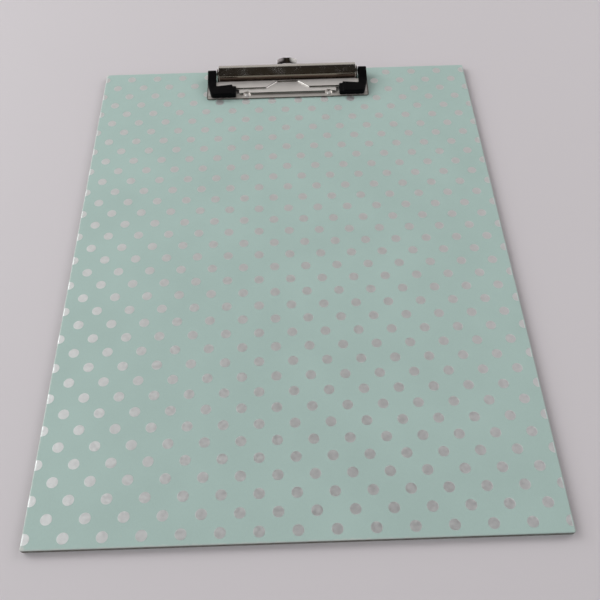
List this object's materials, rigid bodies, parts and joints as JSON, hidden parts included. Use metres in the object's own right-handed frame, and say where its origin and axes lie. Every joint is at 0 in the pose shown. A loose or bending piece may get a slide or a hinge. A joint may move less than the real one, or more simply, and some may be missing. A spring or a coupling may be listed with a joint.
{
  "type": "clipboard",
  "caption": "Paper-covered clipboard with a low sprung clip: rolled-barrel clamp plate on a hinge pin, rubber corner grips and a hanging tab that slides out behind.",
  "frame": {"origin": "middle of the board's back face, which is the face that it lies on", "axes": "+Z out of the writing face, +Y towards the clip's end, +X to the reader's right"},
  "size_m": [0.23, 0.3126, 0.0125],
  "materials": {
    "cover_paper": "satin mint paper with staggered dots in silver foil",
    "greyboard": "dull grey millboard",
    "liner_paper": "matt off-white paper",
    "nickel_plate": "bright nickel plate on steel sheet",
    "spring_steel": "drawn wire, lightly oiled",
    "black_rubber": "smooth black moulding"
  },
  "bodies": {
    "board": {"board_core": "greyboard", "cover_paper": "cover_paper", "back_liner": "liner_paper", "rivet_left": "nickel_plate", "rivet_right": "nickel_plate", "rivet_washer_left": "nickel_plate", "rivet_washer_right": "nickel_plate", "base_plate": "nickel_plate", "hinge_pin": "spring_steel", "torsion_spring_left": "spring_steel", "torsion_spring_right": "spring_steel"},
    "clamp": {"clamp_plate": "nickel_plate", "corner_grip_left": "black_rubber", "corner_grip_right": "black_rubber"},
    "hanger": {"hanging_tab": "nickel_plate"}
  },
  "joints": [
    {"name": "clamp_hinge", "type": "hinge", "parent": "board", "child": "clamp", "pos_m": [0.0014, 0.1439, 0.00755], "axis": [-1, 0, 0], "range_deg": [0, 60], "stiffness_Nm_per_rad": 0.08, "springref_deg": -91.67, "deforming": ["torsion_spring_left", "torsion_spring_right"]},
    {"name": "tab_slide", "type": "slide", "parent": "board", "child": "hanger", "axis": [0, 1, 0], "range_m": [0, 0.012]}
  ]
}
